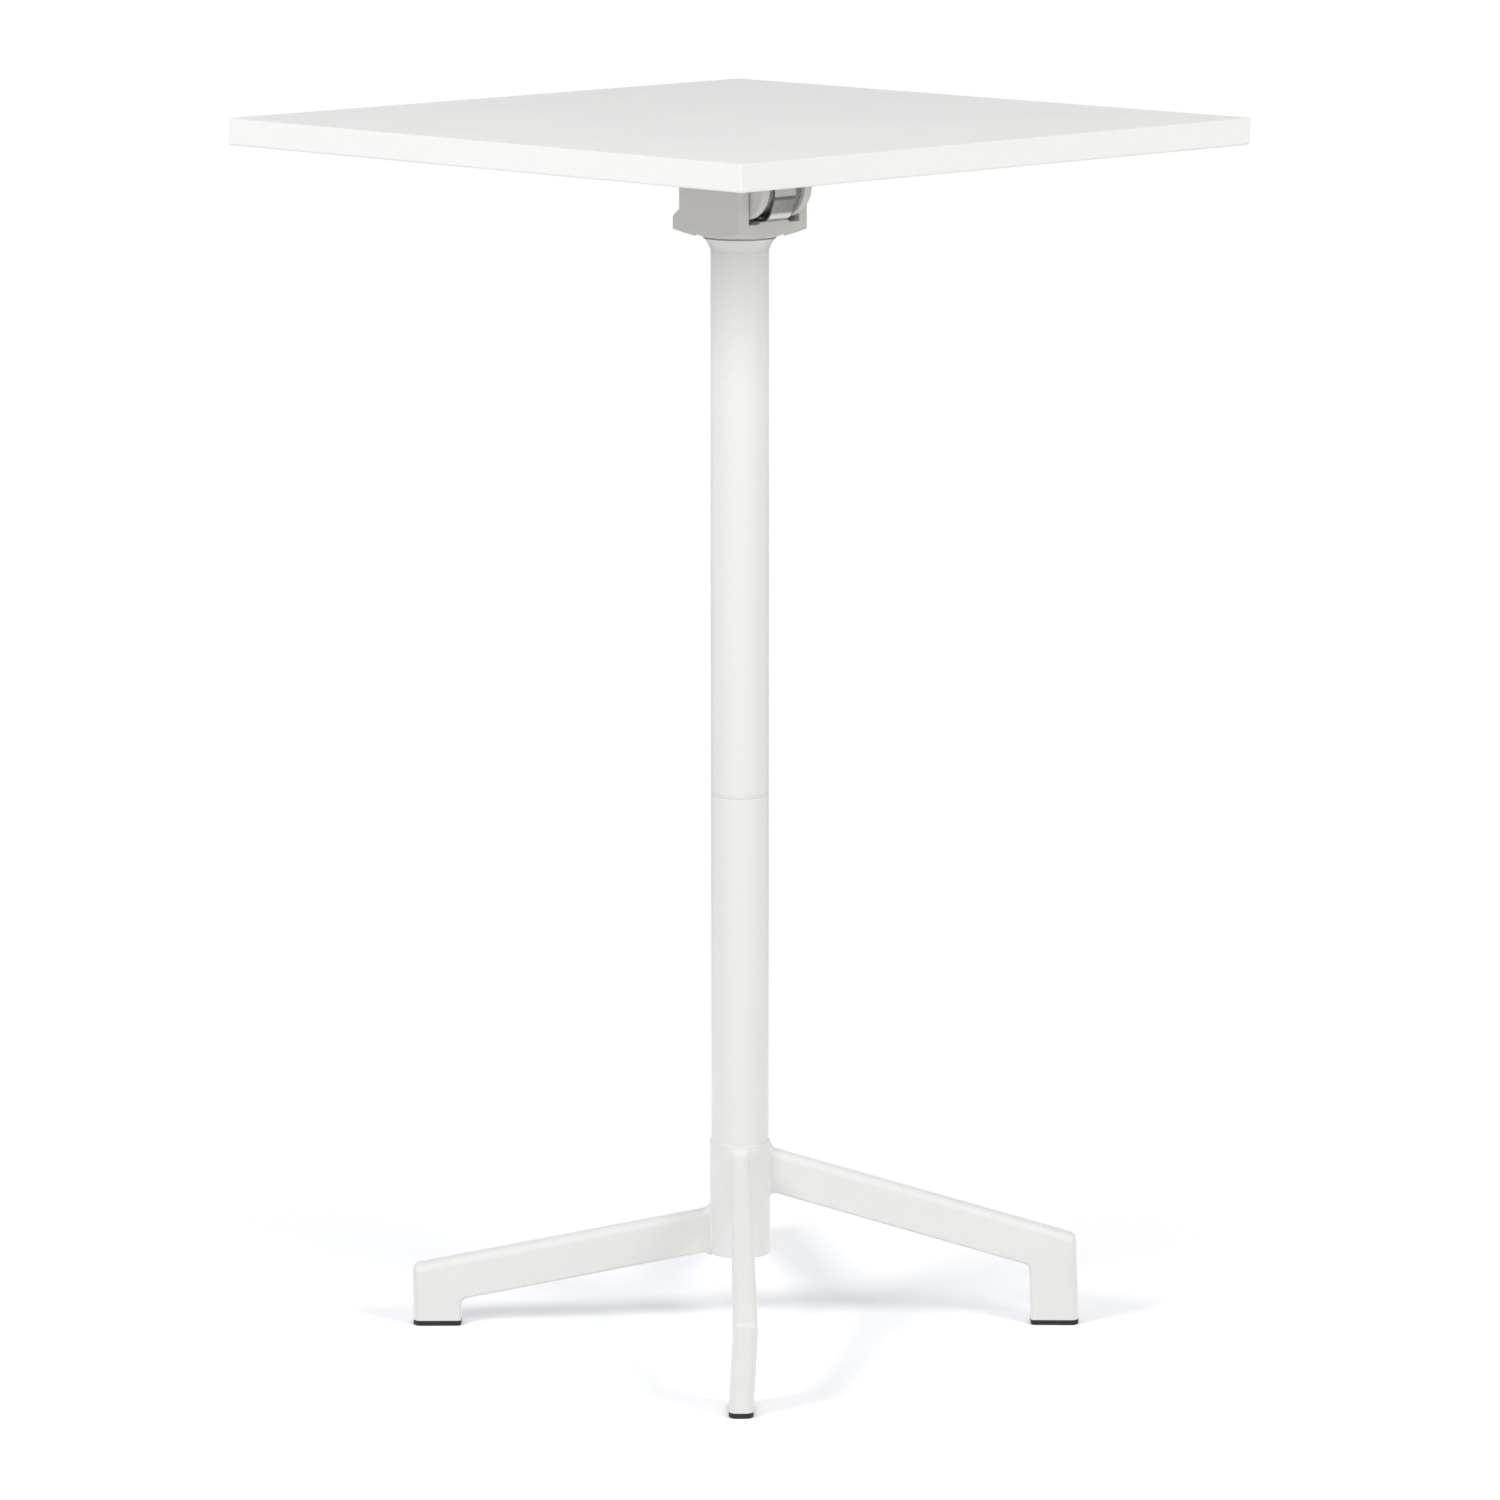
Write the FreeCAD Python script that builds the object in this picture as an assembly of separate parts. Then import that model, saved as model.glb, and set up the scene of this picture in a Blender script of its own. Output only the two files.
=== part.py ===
import FreeCAD, Part
import math
import os
from collections import namedtuple

Vector = FreeCAD.Vector

# Tilt-top bar table on a four-legged column base. Millimetres, +Z up.
# The origin is on the floor under the column. X runs along the hinge, and the hinge side faces -Y.

# Overall
table_height = 1060.0
top_side = 616.0
top_thickness = 23.0
top_corner_radius = 2.5
top_edge_radius = 2.0

# Fits
fit_gap = 0.1
running_gap = 0.05
weld_gap = 0.05
rest_gap = 0.2
socket_share = 0.65

# Column
tube_diameter = 50.0
tube_wall = 2.0
seam_height = 474.0
seam_chamfer = 0.4
spigot_length = 55.0
joiner_length = 100.0
rod_diameter = 10.0
rod_hole_gap = 0.5
rod_grip = 40.0
rod_tail = 5.0
joiner_screw_diameter = 5.0
joiner_screw_head = 9.0
joiner_screw_length = 14.0
joiner_screw_azimuth = 45.0

# Base hub
hub_lip = 1.3
hub_bottom = 65.0
hub_top = 166.5
hub_edge = 0.8
nut_width = 16.0
nut_height = 8.0
washer_diameter = 26.0
washer_thickness = 2.5
washer_side_gap = 2.0
cap_thickness = 5.0
cap_clearance = 7.5

# Legs and feet
leg_width = 21.0
leg_root_width = 17.0
arm_depth = 38.5
leg_upper_rounding = 7.0
leg_lower_rounding = 3.0
shoulder_radius = 6.0
knee_radius = 7.0
root_flare = 3.5
root_flare_reach = 4.5
root_flare_radius = 5.0
foot_length = 42.0
foot_socket_gap = 0.3
foot_fold_drop = 13.1965
foot_fold_radius = 80.0
high_root_drop = 7.3
high_arm_angle = 16.2
high_foot_radius = 277.0
high_foot_lean_angle = 2.4
high_foot_splay_angle = 3.2
low_root_rise = 1.5
low_arm_angle = 11.1
low_foot_radius = 266.5
pad_height = 4.6
pad_rounding = 0.8
pad_stem_diameter = 10.0
pad_stem_length = 10.0

# Hinge and bracket
axis_drop = 31.8
disc_radius = 28.8
disc_thickness = 8.2
disc_spacing = 42.5
disc_rounding = 1.2
plate_thickness = 4.5
plate_width = 120.0
plate_rear_reach = 78.0
plate_corner_radius = 8.0
notch_reach = 11.0
gusset_reach = 17.0
gusset_drop = 16.0
axle_diameter = 12.0
bush_wall = 2.0
bush_flange_width = 3.0
bush_flange_thickness = 0.8
drum_radius = 24.8
drum_flat_depth = 1.2
drum_side_gap = 0.2
drum_pin_diameter = 6.0
drum_pin_circle = 31.0
drum_pin_skin = 2.4

# Bracket fasteners
screw_diameter = 6.0
screw_head_diameter = 11.0
screw_head_height = 3.5
screw_hole_gap = 0.3
screw_margin = 12.0
screw_rows = 3
insert_diameter = 10.0
insert_length = 13.0
insert_bottom_gap = 1.0

# Housing
housing_depth = 82.6
axis_inset = 12.2
bush_side_gap = 0.3
wall_thickness = 10.8
wall_top_gap = 4.4
wall_swing_gap = 1.0
rear_wall = 10.0
rear_setback = 7.8
rear_step_height = 8.6
rear_step_slope = 6.5
floor_gap = 3.3
floor_thickness = 13.4
skirt_ring_width = 1.5
skirt_rise = 6.5
skirt_lip_offset = 11.4
skirt_lip_rise = 1.9
skirt_groove_rise = 3.7
housing_edge_radius = 3.0
cavity_edge_radius = 4.0
seat_margin = 3.5
seat_rise = 2.0
seat_ramp = 3.0
axle_skin = 3.0
plug_length = 4.8
bumper_diameter = 7.0
bumper_sink = 4.0
bumper_inset = 12.0

# Detent spring
spring_width = 25.2
spring_thickness = 1.8
spring_gap = 0.3
spring_lean_angle = 20.0
spring_bend_radius = 12.0
spring_knee_radius = 10.0
spring_top_margin = 0.8
spring_knee_margin = 0.5
spring_tail = 16.0
spring_screw_pitch = 13.0
spring_screw_diameter = 4.0
spring_screw_head = 7.6
spring_screw_head_height = 1.6
spring_screw_depth = 6.0

# Collar under the head
collar_spread = 6.5
collar_height = 11.5
collar_cove = 1.2
neck_setback = 3.0
neck_show = 1.5
neck_sink = 6.0
head_screw_diameter = 6.0
head_screw_head = 11.0
head_screw_length = 18.0
head_screw_inset = 7.8

# Levels and places worked out from the values above
underside = table_height - top_thickness
axis_z = underside - axis_drop
axis_y = -housing_depth / 2 + axis_inset
plate_bottom = underside - plate_thickness
housing_top = plate_bottom - wall_top_gap
floor_level = axis_z - disc_radius - floor_gap
seat_level = floor_level + seat_rise
housing_bottom = floor_level - floor_thickness
disc_inner = disc_spacing / 2
disc_outer = disc_inner + disc_thickness
wall_inner = disc_outer + bush_flange_thickness + bush_side_gap
housing_half = wall_inner + wall_thickness
front_face = -housing_depth / 2
rear_face = housing_depth / 2
rear_upper = rear_face - rear_setback
cavity_rear = rear_upper - rear_wall
neck_top = housing_bottom + neck_sink
collar_top = housing_bottom - neck_show
tube_top = collar_top - collar_height
tube_radius = tube_diameter / 2
tube_bore = tube_radius - tube_wall
collar_radius = tube_radius + collar_spread
neck_radius = collar_radius - neck_setback
skirt_ring_radius = collar_radius + skirt_ring_width
spigot_radius = tube_bore - fit_gap
hub_radius = tube_radius + hub_lip
rod_radius = rod_diameter / 2
rod_hole = rod_radius + rod_hole_gap
pocket_radius = washer_diameter / 2 + washer_side_gap
rod_bottom = hub_bottom + cap_thickness + cap_clearance
pocket_top = rod_bottom + rod_tail + nut_height + washer_thickness
axle_radius = axle_diameter / 2
drum_flat = drum_radius - drum_flat_depth


def cylinder_z(radius, bottom, top, x=0.0, y=0.0):
    return Part.makeCylinder(radius, top - bottom, Vector(x, y, bottom), Vector(0, 0, 1))


def cylinder_x(radius, start, end, y, z):
    return Part.makeCylinder(radius, end - start, Vector(start, y, z), Vector(1, 0, 0))


def block(x0, x1, y0, y1, z0, z1):
    return Part.makeBox(x1 - x0, y1 - y0, z1 - z0, Vector(x0, y0, z0))


def cone_z(lower_radius, upper_radius, bottom, top, x=0.0, y=0.0):
    return Part.makeCone(lower_radius, upper_radius, top - bottom, Vector(x, y, bottom), Vector(0, 0, 1))


def corner_arc(before, corner, after, radius):
    # The two tangent points and the middle point of a rounded corner
    back = (before - corner).normalize()
    ahead = (after - corner).normalize()
    half = back.getAngle(ahead) / 2
    reach = radius / math.tan(half)
    middle = (back + ahead).normalize() * (radius / math.sin(half) - radius)
    return corner + back * reach, corner + middle, corner + ahead * reach


def rounded_face(corners):
    # A closed outline of (point, radius) pairs, with an arc at each corner that has a radius
    count = len(corners)
    stops = []
    for index in range(count):
        before = corners[index - 1][0]
        corner, radius = corners[index]
        after = corners[(index + 1) % count][0]
        if radius > 0:
            stops.append(corner_arc(before, corner, after, radius))
        else:
            stops.append((corner,))
    edges = []
    for index in range(count):
        stop = stops[index]
        if len(stop) == 3:
            edges.append(Part.Arc(stop[0], stop[1], stop[2]).toShape())
        following = stops[(index + 1) % count]
        if stop[-1].distanceToPoint(following[0]) > 1e-6:
            edges.append(Part.LineSegment(stop[-1], following[0]).toShape())
    return Part.Face(Part.Wire(edges))


def rounded_slab(x0, x1, y0, y1, z0, z1, radius):
    corners = [(x0, y0), (x1, y0), (x1, y1), (x0, y1)]
    outline = [(Vector(x, y, z0), radius) for x, y in corners]
    return rounded_face(outline).extrude(Vector(0, 0, z1 - z0))


def hex_prism(width, bottom, top, x=0.0, y=0.0):
    reach = width / 2 / math.cos(math.pi / 6)
    turns = [math.radians(60 * corner) for corner in range(6)]
    corners = [(x + reach * math.cos(turn), y + reach * math.sin(turn)) for turn in turns]
    outline = [(Vector(across, along, bottom), 0.0) for across, along in corners]
    return rounded_face(outline).extrude(Vector(0, 0, top - bottom))


def hex_socket(screw_size, bottom, top, x=0.0, y=0.0):
    return hex_prism(screw_size * socket_share, bottom, top, x, y)


def edges_where(shape, test):
    return [edge for edge in shape.Edges if test(edge)]


def at_level(edge, z):
    box = edge.BoundBox
    return abs(box.ZMin - z) < 1e-4 and abs(box.ZMax - z) < 1e-4


def mirrored_x(x):
    return (-x, x)


def group(shapes):
    return Part.makeCompound(shapes)


# Table top and its fasteners

def screw_places():
    across = plate_width / 2 - screw_margin
    front = axis_y - disc_radius + screw_margin
    rear = axis_y + plate_rear_reach - screw_margin
    step = (rear - front) / (screw_rows - 1)
    return [(x, front + step * row) for row in range(screw_rows) for x in mirrored_x(across)]


def make_table_top():
    half = top_side / 2
    slab = rounded_slab(-half, half, -half, half, underside, table_height, top_corner_radius)
    rims = edges_where(slab, lambda edge: at_level(edge, underside) or at_level(edge, table_height))
    slab = slab.makeFillet(top_edge_radius, rims)
    bore_top = underside + insert_length + insert_bottom_gap
    for x, y in screw_places():
        slab = slab.cut(cylinder_z(insert_diameter / 2, underside, bore_top, x, y))
    return slab


def make_threaded_inserts():
    inserts = []
    for x, y in screw_places():
        body = cylinder_z(insert_diameter / 2, underside, underside + insert_length, x, y)
        bore = cylinder_z(screw_diameter / 2 + running_gap, underside, underside + insert_length, x, y)
        inserts.append(body.cut(bore))
    return group(inserts)


def make_bracket_screws():
    screws = []
    for x, y in screw_places():
        head = cylinder_z(screw_head_diameter / 2, plate_bottom - screw_head_height, plate_bottom, x, y)
        lower_rim = edges_where(head, lambda edge: at_level(edge, plate_bottom - screw_head_height))
        head = head.makeFillet(screw_head_height / 3, lower_rim)
        shank = cylinder_z(screw_diameter / 2, plate_bottom, underside + insert_length, x, y)
        drive_depth = screw_head_height / 2
        drive_bottom = plate_bottom - screw_head_height
        drive = hex_socket(screw_diameter, drive_bottom, drive_bottom + drive_depth, x, y)
        screws.append(head.fuse(shank).cut(drive).removeSplitter())
    return group(screws)


# Bracket under the top, with the two hinge discs and the drum between them

def make_cheek(x0):
    x1 = x0 + disc_thickness
    disc = cylinder_x(disc_radius, x0, x1, axis_y, axis_z)
    upright = block(x0, x1, axis_y - disc_radius, axis_y + disc_radius, axis_z, plate_bottom)
    gusset_end = axis_y + disc_radius + gusset_reach
    corners = [(axis_y, plate_bottom - gusset_drop), (gusset_end, plate_bottom), (axis_y, plate_bottom)]
    outline = [(Vector(x0, y, z), 0.0) for y, z in corners]
    gusset = rounded_face(outline).extrude(Vector(disc_thickness, 0, 0))
    cheek = disc.fuse([upright, gusset]).removeSplitter()

    def on_rim(edge):
        box = edge.BoundBox
        flat = abs(box.XMin - box.XMax) < 1e-4
        return flat and box.ZMin < axis_z - disc_radius / 2

    return cheek.makeFillet(disc_rounding, edges_where(cheek, on_rim))


def make_hinge_bracket():
    half = plate_width / 2
    front = axis_y - disc_radius
    rear = axis_y + plate_rear_reach
    plate = rounded_slab(-half, half, front, rear, plate_bottom, underside, plate_corner_radius)
    notch_front = front - plate_corner_radius
    notch_rear = axis_y + notch_reach
    plate = plate.cut(block(-disc_inner, disc_inner, notch_front, notch_rear, plate_bottom, underside))
    for x, y in screw_places():
        plate = plate.cut(cylinder_z(screw_diameter / 2 + screw_hole_gap, plate_bottom, underside, x, y))
    cheeks = [make_cheek(-disc_outer), make_cheek(disc_inner)]
    bracket = plate.fuse(cheeks).removeSplitter()
    bush_hole = axle_radius + running_gap + bush_wall + fit_gap
    bracket = bracket.cut(cylinder_x(bush_hole, -disc_outer, disc_outer, axis_y, axis_z))
    for y, z in drum_pin_places():
        bracket = bracket.cut(drum_pin(y, z, fit_gap))
    return bracket


def drum_pin_places():
    # Two pins on opposite sides of the axle, clear of the flats
    reach = drum_pin_circle / 2 * math.sqrt(0.5)
    return [(axis_y + reach, axis_z + reach), (axis_y - reach, axis_z - reach)]


def drum_pin(y, z, gap):
    start = -disc_outer + drum_pin_skin - gap
    return cylinder_x(drum_pin_diameter / 2 + gap, start, disc_outer, y, z)


def make_drum_pins():
    return group([drum_pin(y, z, 0.0) for y, z in drum_pin_places()])


def make_detent_drum():
    end = disc_inner - drum_side_gap
    drum = cylinder_x(drum_radius, -end, end, axis_y, axis_z)
    over = drum_radius * 2
    drum = drum.cut(block(-over, over, axis_y - over, axis_y - drum_flat, axis_z - over, axis_z + over))
    drum = drum.cut(block(-over, over, axis_y - over, axis_y + over, axis_z + drum_flat, axis_z + over))
    drum = drum.cut(cylinder_x(axle_radius + running_gap, -end, end, axis_y, axis_z))
    for y, z in drum_pin_places():
        drum = drum.cut(drum_pin(y, z, fit_gap))
    return drum


def make_hinge_bush(side):
    bore = axle_radius + running_gap
    outer = bore + bush_wall
    barrel = cylinder_x(outer, disc_inner, disc_outer, axis_y, axis_z)
    flange_end = disc_outer + bush_flange_thickness
    flange = cylinder_x(outer + bush_flange_width, disc_outer, flange_end, axis_y, axis_z)
    hole = cylinder_x(bore, disc_inner, flange_end, axis_y, axis_z)
    bush = barrel.fuse(flange).removeSplitter().cut(hole)
    if side < 0:
        bush = bush.mirror(Vector(0, 0, 0), Vector(1, 0, 0))
    return bush


# Head housing, open at the front and top

def housing_outline():
    # Side view, with the upper part of the rear face stepped in
    step_top = floor_level + rear_step_height
    step_bottom = step_top - rear_step_slope
    corners = [
        (front_face, housing_bottom),
        (rear_face, housing_bottom),
        (rear_face, step_bottom),
        (rear_upper, step_top),
        (rear_upper, housing_top),
        (front_face, housing_top),
    ]
    return [(Vector(-housing_half, y, z), 0.0) for y, z in corners]


def skirt_cut():
    # The underside rises as a cone from the collar to a groove, behind the lip of the skirt and its corners
    ring = skirt_ring_radius
    lip = collar_radius + skirt_lip_offset
    corner_reach = math.hypot(housing_half, rear_face)
    far = corner_reach * 1.2
    slope = (skirt_rise - skirt_lip_rise) / (corner_reach - lip)
    below = housing_bottom - skirt_rise
    lip_level = housing_bottom + skirt_lip_rise
    far_level = lip_level + slope * (far - lip)
    corners = [(ring, below), (far, below), (far, far_level), (lip, lip_level)]
    corners += [(lip, housing_bottom + skirt_groove_rise), (ring, housing_bottom)]
    section = rounded_face([(Vector(r, 0, z), 0.0) for r, z in corners])
    return section.revolve(Vector(0, 0, 0), Vector(0, 0, 1), 360)


def make_spring_seat():
    half = spring_width / 2 + seat_margin
    low = floor_level - seat_rise
    corners = [(-half - seat_ramp, low), (half + seat_ramp, low), (half + seat_ramp, floor_level)]
    corners += [(half, seat_level), (-half, seat_level), (-half - seat_ramp, floor_level)]
    section = rounded_face([(Vector(x, front_face, z), 0.0) for x, z in corners])
    return section.extrude(Vector(0, spring_end() + fit_gap - front_face, 0))


def head_screw_places():
    reach = (neck_radius - head_screw_inset) * math.sqrt(0.5)
    return [(x, y) for x in mirrored_x(reach) for y in mirrored_x(reach)]


def bumper_places():
    across = wall_inner + wall_thickness / 2
    return [(x, rear_upper - bumper_inset) for x in mirrored_x(across)]


def make_head_housing():
    body = rounded_face(housing_outline()).extrude(Vector(2 * housing_half, 0, 0))

    def upright(edge):
        box = edge.BoundBox
        thin = max(box.XMax - box.XMin, box.YMax - box.YMin) < 1e-4
        return thin and box.ZMax - box.ZMin > skirt_rise / 2

    body = body.makeFillet(housing_edge_radius, edges_where(body, upright))
    body = body.cut(skirt_cut())
    body = body.cut(make_hollow())
    body = body.fuse(make_spring_seat().common(outer_block())).removeSplitter()
    body = body.cut(swing_cut())
    body = body.cut(cylinder_z(neck_radius + fit_gap, housing_bottom - skirt_rise, neck_top))
    for x, y in head_screw_places():
        body = body.cut(head_screw(x, y, fit_gap))
    for x in spring_screw_across():
        body = body.cut(spring_screw(x, running_gap))
    bumper_hole = bumper_diameter / 2 + fit_gap
    for x, y in bumper_places():
        body = body.cut(cylinder_z(bumper_hole, housing_top - bumper_sink, housing_top, x, y))
    bore_start = -housing_half + axle_skin
    return body.cut(cylinder_x(axle_radius + running_gap, bore_start, housing_half, axis_y, axis_z))


def make_hollow():
    front = front_face - disc_radius
    x = wall_inner
    return rounded_slab(-x, x, front, cavity_rear, floor_level, table_height, cavity_edge_radius)


def outer_block():
    return block(-housing_half, housing_half, front_face, rear_face, housing_bottom, housing_top)


def swing_cut():
    # The front top corners of the walls are rounded about the hinge, so the bracket plate swings past
    reach = axis_drop - plate_thickness - wall_swing_gap
    x = housing_half
    corner = block(-x, x, front_face - disc_radius, axis_y, axis_z, table_height)
    return corner.cut(cylinder_x(reach, -x, x, axis_y, axis_z))


def make_hinge_axle():
    start = -housing_half + axle_skin + fit_gap
    end = housing_half - plug_length - fit_gap
    axle = cylinder_x(axle_radius, start, end, axis_y, axis_z)
    return axle.makeChamfer(axle_radius / 8, edges_where(axle, lambda edge: edge.Length > axle_radius * 6))


def make_axle_plug():
    return cylinder_x(axle_radius, housing_half - plug_length, housing_half, axis_y, axis_z)


def make_rest_bumpers():
    bumpers = []
    for x, y in bumper_places():
        top = plate_bottom - rest_gap
        bumper = cylinder_z(bumper_diameter / 2, housing_top - bumper_sink, top, x, y)
        rim = edges_where(bumper, lambda edge: at_level(edge, top))
        bumpers.append(bumper.makeFillet(bumper_diameter / 10, rim))
    return group(bumpers)


# Detent spring, a flat strip bent up in front of the drum

def spring_arm_face():
    return axis_y - drum_flat - spring_gap - spring_thickness


def flat_half_length():
    return math.sqrt(drum_radius**2 - drum_flat**2)


def spring_centres():
    # Centres of the knee bend and of the bend at the seat
    lean = math.radians(spring_lean_angle)
    tangent = spring_knee_radius * math.tan(lean / 2)
    knee_z = axis_z - flat_half_length() - tangent - spring_knee_margin
    arm = spring_arm_face()
    knee_centre = Vector(0, arm + spring_knee_radius, knee_z + tangent)
    bend_z = seat_level + spring_bend_radius
    bend_y = arm + (spring_bend_radius + (knee_z - bend_z) * math.sin(lean)) / math.cos(lean)
    return knee_centre, Vector(0, bend_y, bend_z)


def spring_end():
    return spring_centres()[1].y + spring_tail


def spring_side(depth):
    # One side of the strip, as edges from the top down, at a depth below the outer face
    lean = math.radians(spring_lean_angle)
    knee_centre, bend_centre = spring_centres()

    def around(centre, radius, angle):
        return centre - Vector(0, math.cos(angle), math.sin(angle)) * (radius - depth)

    knee = [around(knee_centre, spring_knee_radius, lean * share) for share in (0, 0.5, 1)]
    quarter = math.pi / 2
    turns = [lean, (lean + quarter) / 2, quarter]
    bend = [around(bend_centre, spring_bend_radius, turn) for turn in turns]
    top = Vector(0, knee[0].y, axis_z + flat_half_length() + spring_top_margin)
    tail = Vector(0, spring_end(), bend[2].z)
    edges = [
        Part.LineSegment(top, knee[0]).toShape(),
        Part.Arc(*knee).toShape(),
        Part.LineSegment(knee[2], bend[0]).toShape(),
        Part.Arc(*bend).toShape(),
        Part.LineSegment(bend[2], tail).toShape(),
    ]
    return edges, top, tail


def make_detent_spring():
    outer, outer_top, outer_tail = spring_side(0.0)
    inner, inner_top, inner_tail = spring_side(spring_thickness)
    tail_edge = Part.LineSegment(outer_tail, inner_tail).toShape()
    top_edge = Part.LineSegment(inner_top, outer_top).toShape()
    section = Part.Face(Part.Wire(outer + [tail_edge] + inner[::-1] + [top_edge]))
    strip = section.extrude(Vector(spring_width, 0, 0))
    strip.translate(Vector(-spring_width / 2, 0, 0))
    hole_radius = spring_screw_diameter / 2 + fit_gap
    hole_top = seat_level + spring_thickness
    for x in spring_screw_across():
        strip = strip.cut(cylinder_z(hole_radius, seat_level, hole_top, x, spring_screw_y()))
    return strip


def spring_screw_across():
    return mirrored_x(spring_screw_pitch / 2)


def spring_screw_y():
    return spring_end() - spring_tail / 2


def spring_screw(x, gap):
    y = spring_screw_y()
    under_head = seat_level + spring_thickness
    return cylinder_z(spring_screw_diameter / 2 + gap, seat_level - spring_screw_depth, under_head, x, y)


def make_spring_screws():
    screws = []
    y = spring_screw_y()
    under_head = seat_level + spring_thickness
    head_top = under_head + spring_screw_head_height
    for x in spring_screw_across():
        head = cylinder_z(spring_screw_head / 2, under_head, head_top, x, y)
        rim = edges_where(head, lambda edge: at_level(edge, head_top))
        head = head.makeFillet(spring_screw_head_height / 3, rim)
        drive_bottom = head_top - spring_screw_head_height / 2
        drive = hex_socket(spring_screw_diameter, drive_bottom, head_top, x, y)
        screws.append(head.fuse(spring_screw(x, 0.0)).cut(drive).removeSplitter())
    return group(screws)


# Collar and column

def head_screw(x, y, gap):
    # A countersunk screw from the housing floor down into the collar
    head_radius = head_screw_head / 2
    shank_radius = head_screw_diameter / 2
    head_depth = head_radius - shank_radius
    shank = cylinder_z(shank_radius + gap, floor_level - head_screw_length, floor_level, x, y)
    head = cone_z(shank_radius + gap, head_radius + gap, floor_level - head_depth, floor_level, x, y)
    return shank.fuse(head).removeSplitter()


def make_head_screws():
    screws = []
    for x, y in head_screw_places():
        depth = head_screw_diameter / 3
        drive = hex_socket(head_screw_diameter, floor_level - depth, floor_level, x, y)
        screws.append(head_screw(x, y, 0.0).cut(drive))
    return group(screws)


def make_collar_flare():
    # A hollow-sided ring that widens from the tube to the head
    low = Vector(tube_radius, 0, tube_top)
    high = Vector(collar_radius, 0, collar_top)
    along = high - low
    inward = Vector(-along.z, 0, along.x).normalize()
    waist = low + along * 0.5 + inward * collar_cove
    bottom_centre = Vector(0, 0, tube_top)
    top_centre = Vector(0, 0, collar_top)
    edges = [
        Part.LineSegment(bottom_centre, low).toShape(),
        Part.Arc(low, waist, high).toShape(),
        Part.LineSegment(high, top_centre).toShape(),
        Part.LineSegment(top_centre, bottom_centre).toShape(),
    ]
    section = Part.Face(Part.Wire(edges))
    return section.revolve(Vector(0, 0, 0), Vector(0, 0, 1), 360)


def make_column_collar():
    spigot = cylinder_z(spigot_radius, tube_top - spigot_length, tube_top)
    neck = cylinder_z(neck_radius, collar_top, neck_top)
    collar = spigot.fuse([make_collar_flare(), neck]).removeSplitter()
    grip_bottom = tube_top - spigot_length
    collar = collar.cut(cylinder_z(rod_radius + running_gap, grip_bottom, grip_bottom + rod_grip))
    for x, y in head_screw_places():
        collar = collar.cut(head_screw(x, y, running_gap))
    return collar


def make_tube(bottom, top, screw_level):
    barrel = cylinder_z(tube_radius, bottom, top)
    barrel = barrel.makeChamfer(seam_chamfer, edges_where(barrel, lambda edge: at_level(edge, seam_height)))
    tube = barrel.cut(cylinder_z(tube_bore, bottom, top))
    return tube.cut(joiner_screw(screw_level, fit_gap))


def joiner_screw(level, gap):
    # A countersunk screw through the tube wall into the joiner, at the back of the column
    head_radius = joiner_screw_head / 2
    shank_radius = joiner_screw_diameter / 2
    head_depth = head_radius - shank_radius
    outward = Vector(1, 0, 0)
    shank_start = Vector(tube_radius - joiner_screw_length, 0, level)
    shank = Part.makeCylinder(shank_radius + gap, joiner_screw_length, shank_start, outward)
    head_start = Vector(tube_radius - head_depth, 0, level)
    head = Part.makeCone(shank_radius + gap, head_radius + gap, head_depth, head_start, outward)
    screw = shank.fuse(head).removeSplitter()
    screw = screw.common(cylinder_z(tube_radius, level - head_radius * 2, level + head_radius * 2))
    screw.rotate(Vector(0, 0, 0), Vector(0, 0, 1), joiner_screw_azimuth)
    return screw


def joiner_screw_levels():
    return (seam_height - joiner_length / 4, seam_height + joiner_length / 4)


def joiner_screw_socket(level):
    depth = joiner_screw_diameter / 2
    socket = hex_socket(joiner_screw_diameter, tube_radius - depth, tube_radius)
    socket.rotate(Vector(0, 0, 0), Vector(0, 1, 0), 90)
    socket.translate(Vector(0, 0, level))
    socket.rotate(Vector(0, 0, 0), Vector(0, 0, 1), joiner_screw_azimuth)
    return socket


def make_joiner_screws():
    screws = []
    for level in joiner_screw_levels():
        screws.append(joiner_screw(level, 0.0).cut(joiner_screw_socket(level)))
    return group(screws)


def make_tube_joiner():
    bottom = seam_height - joiner_length / 2
    top = seam_height + joiner_length / 2
    joiner = cylinder_z(spigot_radius, bottom, top).cut(cylinder_z(rod_hole, bottom, top))
    for level in joiner_screw_levels():
        joiner = joiner.cut(joiner_screw(level, running_gap))
    return joiner


def make_tie_rod():
    top = tube_top - spigot_length + rod_grip - fit_gap
    return cylinder_z(rod_radius, rod_bottom, top)


def make_tie_rod_washer():
    bottom = pocket_top - washer_thickness
    return cylinder_z(washer_diameter / 2, bottom, pocket_top).cut(cylinder_z(rod_hole, bottom, pocket_top))


def make_tie_rod_nut():
    top = pocket_top - washer_thickness
    bottom = top - nut_height
    nut = hex_prism(nut_width, bottom, top)
    return nut.cut(cylinder_z(rod_radius + running_gap, bottom, top))


def make_hub():
    barrel = cylinder_z(hub_radius, hub_bottom, hub_top)
    barrel = barrel.makeChamfer(hub_edge, edges_where(barrel, lambda edge: at_level(edge, hub_top)))
    spigot = cylinder_z(spigot_radius, hub_top, hub_top + spigot_length)
    hub = barrel.fuse(spigot).removeSplitter()
    hub = hub.cut(cylinder_z(rod_hole, hub_bottom, hub_top + spigot_length))
    return hub.cut(cylinder_z(pocket_radius, hub_bottom, pocket_top))


def make_hub_cap():
    return cylinder_z(pocket_radius - fit_gap, hub_bottom, hub_bottom + cap_thickness)


# Legs, each a sloping arm that turns down into a foot
# A leg is made along +X, with r the distance from the column, and is then turned to its place

Leg = namedtuple("Leg", "azimuth root_top arm_angle foot_radius lean_angle splay_angle")


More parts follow.
